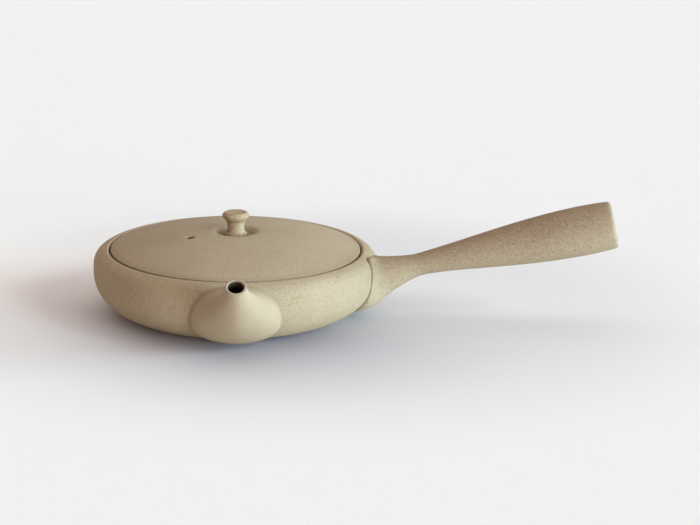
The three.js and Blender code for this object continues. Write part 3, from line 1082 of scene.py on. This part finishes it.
# Each ring of the collar: how far inside the seam it lies, its lift off the body, its painted shade
HANDLE_COLLAR = (
    (-0.1, -0.5, 1.0), (-0.05, 0.0, 1.0), (0.05, 0.15, 1.0),
    (0.1, 0.5, 0.9), (0.16, 0.7, 0.5), (0.35, 0.8, 0.1),
)


# %% The line of the handle
def handle_centre(reach):
    """The place of the centre line at a reach, and its slope there."""
    along = reach - HANDLE_BEND_REACH
    soft = math.hypot(along, HANDLE_BEND_SOFTNESS)
    mean = (HANDLE_STEEPNESS + HANDLE_ROOT_STEEPNESS) / 2
    half = (HANDLE_ROOT_STEEPNESS - HANDLE_STEEPNESS) / 2
    height = HANDLE_BEND_HEIGHT + mean * along - half * soft
    return Vector((reach, 0, height)), math.atan(mean - half * along / soft)


def handle_radius(reach):
    """Narrows from the root to the neck, swells to the grip, and draws in at the end."""
    if reach < HANDLE_NECK_REACH:
        share = (HANDLE_NECK_REACH - reach) / (HANDLE_NECK_REACH - HANDLE_ROOT_REACH)
        return between(HANDLE_NECK_RADIUS, HANDLE_ROOT_RADIUS, share ** HANDLE_ROOT_FLARE)
    if reach < HANDLE_GRIP_REACH:
        share = (reach - HANDLE_NECK_REACH) / (HANDLE_GRIP_REACH - HANDLE_NECK_REACH)
        swell = share ** HANDLE_SWELL
        return between(HANDLE_NECK_RADIUS, HANDLE_GRIP_RADIUS, swell * swell * (3 - 2 * swell))
    share = (reach - HANDLE_GRIP_REACH) / (HANDLE_REACH - HANDLE_GRIP_REACH)
    return between(HANDLE_GRIP_RADIUS, HANDLE_END_RADIUS, share ** 2)


def handle_ring(reach, inset=0.0):
    centre, slope = handle_centre(reach)
    return round_ring(centre, slope, handle_radius(reach) - inset)


# %% The rings of the handle
def handle_run(start, end, count, inset=0.0):
    """Rings from one reach to another, without the first, which the run before has made."""
    return [handle_ring(between(start, end, t), inset) for t in steps(count)[1:]]


def handle_arrivals(inset=0.0):
    """How each line of the flare comes into the neck, which keeps the neck's own taper."""
    small = 0.1
    here = handle_ring(HANDLE_ROOT_REACH, inset)
    beyond = handle_ring(HANDLE_ROOT_REACH + small, inset)
    return [(b - a) / small * HANDLE_ROOT_THROAT for a, b in zip(here, beyond)]


def handle_seam(inset, lift):
    return seam_ring(
        HANDLE_BASE_WIDTH / 2 - inset, HANDLE_BASE_TOP - inset, HANDLE_BASE_MIDDLE,
        HANDLE_BASE_BOTTOM + inset, HANDLE_BASE_FULLNESS, lift=lift, roll=HANDLE_BASE_ROLL,
    )


def handle_flare(seam, inset, count):
    """The flare from a ring on the body to the start of the neck."""
    return branch_rings(
        seam, HANDLE_SWELL_REACH - inset, handle_ring(HANDLE_ROOT_REACH, inset),
        handle_arrivals(inset), count,
    )


def handle_end_rings(last):
    """A quarter turn out to the open end, and a quarter turn back into the bore."""
    rings = []
    for t in steps(6)[1:]:
        turn = t * math.pi / 2
        reach = last + HANDLE_END_ROUNDING * math.sin(turn)
        rings.append(handle_ring(reach, HANDLE_END_ROUNDING * (1 - math.cos(turn))))
    for t in steps(4)[1:]:
        turn = t * math.pi / 2
        reach = HANDLE_REACH - HANDLE_END_ROUNDING * (1 - math.cos(turn))
        inset = HANDLE_WALL - HANDLE_END_ROUNDING * (1 - math.sin(turn))
        rings.append(handle_ring(reach, inset))
    return rings


def handle_rings():
    last = HANDLE_REACH - HANDLE_END_ROUNDING
    collar = [handle_seam(inset, lift) for inset, lift, brown in HANDLE_COLLAR]
    flare = handle_flare(collar[-1], 0.0, count=24)
    neck = handle_run(HANDLE_ROOT_REACH, HANDLE_NECK_REACH, count=14)
    grip = handle_run(HANDLE_NECK_REACH, last, count=40)
    end = handle_end_rings(last)
    bore = handle_run(last, HANDLE_ROOT_REACH, count=30, inset=HANDLE_WALL)
    sunk = HANDLE_COLLAR[0][1]
    hollow = handle_flare(handle_seam(HANDLE_WALL, sunk), HANDLE_WALL, count=8)
    hollow.reverse()
    outside = collar + flare[1:] + neck + grip
    rings = outside + end + bore + hollow[1:]
    # The collar's rings carry painted shade in the cove where the handle meets the body
    seam = with_zeros([brown for inset, lift, brown in HANDLE_COLLAR], len(outside))
    seam = seam + [HANDLE_END_BROWN] * len(end)
    return rings, {"seam": with_zeros(seam, len(rings))}


handle = skinned(*handle_rings())
finish_piece(turned_to(handle, HANDLE_BEARING), "hollow_handle", "handle", handle_clay)

# %% [markdown]
# The strainer is a dome of clay pierced with hundreds of fine holes while it was still soft. An
# icosphere already has evenly spread corners, so cutting every corner off and dropping the small
# faces that are left there gives even holes without placing a single one.

# %% The strainer
STRAINER_WIDTH = 25
STRAINER_RISE = 15
STRAINER_DEPTH = 9
STRAINER_WALL = 1.8
STRAINER_HOLE_SHARE = 0.3
STRAINER_PIERCED_FROM = 0.25
STRAINER_CUT_AT = 0.02


def strainer_dome():
    """A ball of radius 1, pierced and cut in half, then drawn out to a dome with a wall."""
    bm = bmesh.new()
    bmesh.ops.create_icosphere(bm, subdivisions=4, radius=1)
    corners = [vert for vert in bm.verts if vert.co.y > STRAINER_PIERCED_FROM]
    spacing = sum(edge.calc_length() for edge in bm.edges) / len(bm.edges)
    pierced = bmesh.ops.bevel(
        bm, geom=corners, offset=spacing * STRAINER_HOLE_SHARE,
        segments=1, profile=0.5, affect="VERTICES", material=-1,
    )
    bmesh.ops.delete(bm, geom=pierced["faces"], context="FACES_ONLY")
    bmesh.ops.bisect_plane(
        bm, geom=list(bm.verts) + list(bm.edges) + list(bm.faces),
        plane_co=(0, STRAINER_CUT_AT, 0), plane_no=(0, 1, 0), clear_inner=True,
    )
    size = (STRAINER_WIDTH / 2, STRAINER_DEPTH, STRAINER_RISE / 2)
    bmesh.ops.scale(bm, vec=size, verts=bm.verts)
    bmesh.ops.translate(bm, vec=(0, -INNER_RADIUS, STRAINER_MIDDLE), verts=bm.verts)
    bmesh.ops.recalc_face_normals(bm, faces=bm.faces)
    bmesh.ops.solidify(bm, geom=list(bm.faces), thickness=STRAINER_WALL)
    return bm


finish_piece(strainer_dome(), "pierced_strainer", "strainer", spout_clay)

# %% [markdown]
# The pot stands on a plain pale floor that runs far enough back to fill the picture. Close to the
# pot it carries painted shade in ovals: a wide faint one and a deep small one, and a paler oval is
# a painted light that lifts the long shadow at the far left. An oval's mask is the distance from
# its centre, measured in its reach. The ovals are only for the eye: the light that the floor throws
# back up at the pot keeps an even, slightly warm colour, which is what brightens the undersides.

# %% The floor
FLOOR_HALF = 5.0
FLOOR_PALE = (0.857, 0.85, 0.871, 1.0)
FLOOR_PAINTED_LIGHT = (0.91, 0.92, 0.935, 1.0)
FLOOR_SHADE = (0.735, 0.731, 0.749, 1.0)
FLOOR_DEEP_SHADE = (0.08, 0.04, 0.16, 1.0)
FLOOR_BOUNCE = (0.8, 0.78, 0.76, 1.0)
FLOOR_ROUGHNESS = 0.9
FLOOR_SPECULAR = 0.1
# Each oval: its centre and its reach in metres, and the share of the reach where it starts to fade
WIDE_SHADE = ((0.03, 0.013), (0.207, 0.191), 0.47)
PAINTED_LIGHT_PATCH = ((-0.16, 0.09), (0.2, 0.11), 0.2)
DEEP_SHADE = ((0.016, -0.036), (0.116, 0.096), -0.8)


def oval_on_floor(tree, place, centre, reach, inner):
    """A mask that falls from 1, at an inner share of the oval's reach, to 0 at its edge."""
    scale = [1 / part for part in reach]
    shift = [-middle * part for middle, part in zip(centre, scale)]
    inputs = {"Vector": place, "Location": (*shift, 0), "Scale": (*scale, 1)}
    around = make_node(tree, "Mapping", inputs)["Vector"]
    length = vector_node(tree, "LENGTH", around)["Value"]
    outside = ramp_node(tree, length, inner, 1.0)
    return math_node(tree, "SUBTRACT", 1.0, outside)


def floor_material():
    material, tree, shader, place = matt_material("pale_floor", FLOOR_SPECULAR)
    shader.inputs["Roughness"].default_value = FLOOR_ROUGHNESS
    # Painted shade around and under the pot, and a painted light over the far left shadow
    shaded = oval_on_floor(tree, place, *WIDE_SHADE)
    painted = mix_colour(tree, shaded, FLOOR_PALE, FLOOR_SHADE)
    lifted = oval_on_floor(tree, place, *PAINTED_LIGHT_PATCH)
    painted = mix_colour(tree, lifted, painted, FLOOR_PAINTED_LIGHT)
    deep = oval_on_floor(tree, place, *DEEP_SHADE)
    painted = mix_colour(tree, deep, painted, FLOOR_DEEP_SHADE)
    in_sight = make_node(tree, "LightPath", {})["Is Camera Ray"]
    colour = mix_colour(tree, in_sight, FLOOR_BOUNCE, painted)
    tree.links.new(colour, shader.inputs["Base Color"])
    return material


bm = bmesh.new()
bmesh.ops.create_grid(bm, x_segments=2, y_segments=2, size=FLOOR_HALF)
floor_mesh = bpy.data.meshes.new("floor")
bm.to_mesh(floor_mesh)
bm.free()
floor_mesh.materials.append(floor_material())
floor = bpy.data.objects.new("floor", floor_mesh)
bpy.context.scene.collection.objects.link(floor)
print("floor", 2 * FLOOR_HALF, "m wide")

# %% [markdown]
# The light is a tall window on the right, seen as four panes of daylight that come in low and one
# that comes in higher, a wide pale wall behind the pot, a little warm light from the ceiling, and
# a weak warm one from the left. Sun lamps with wide discs stand in for them, because their light
# is even over the whole floor. The world gives no light of its own. It only shows the camera a
# pale backdrop.

# %% The light
BACKDROP = (0.887, 0.887, 0.887, 1.0)
LIGHT_LEVEL = 1.22
LOW = 8
PANE_DISC = 20


def far_lamp(name, bearing, elevation, disc, colour):
    """A sun lamp: where its light comes from in degrees, how wide it looks, its colour."""
    lamp = bpy.data.lights.new(name, "SUN")
    strongest = max(colour)
    lamp.energy = LIGHT_LEVEL * strongest * math.pi
    lamp.color = [part / strongest for part in colour]
    lamp.angle = math.radians(disc)
    lamp_object = bpy.data.objects.new(name, lamp)
    height = math.radians(elevation)
    towards = Vector((math.cos(height), 0, math.sin(height)))
    towards.rotate(Matrix.Rotation(math.radians(bearing), 3, "Z"))
    lamp_object.rotation_euler = towards.to_track_quat("Z", "Y").to_euler()
    bpy.context.scene.collection.objects.link(lamp_object)
    print("lamp", name, "from", bearing, "at", elevation, "degrees")


far_lamp("window_front", -60, LOW, PANE_DISC, (0.208, 0.173, 0.187))
far_lamp("window_middle", -45, LOW, PANE_DISC, (0.52, 0.7, 0.75))
far_lamp("window_side", -15, LOW, PANE_DISC, (0.17, 0.315, 0.43))
far_lamp("window_back", 5, LOW, PANE_DISC, (0.429, 0.52, 0.608))
far_lamp("window_top", -30, 30, PANE_DISC, (0.213, 0.273, 0.255))
far_lamp("back_wall", 90, 42, 130, (0.543, 0.566, 0.553))
far_lamp("ceiling", 0, 89, 120, (0.153, 0.062, 0.033))
far_lamp("warm_left", -120, LOW, PANE_DISC, (0.153, 0.114, 0.086))

world = bpy.data.worlds.new("room")
bpy.context.scene.world = world
world.use_nodes = True
room = world.node_tree
backdrop = room.nodes["Background"].inputs
backdrop["Color"].default_value = BACKDROP
room.links.new(make_node(room, "LightPath", {})["Is Camera Ray"], backdrop["Strength"])

bpy.context.scene.view_settings.view_transform = "Standard"
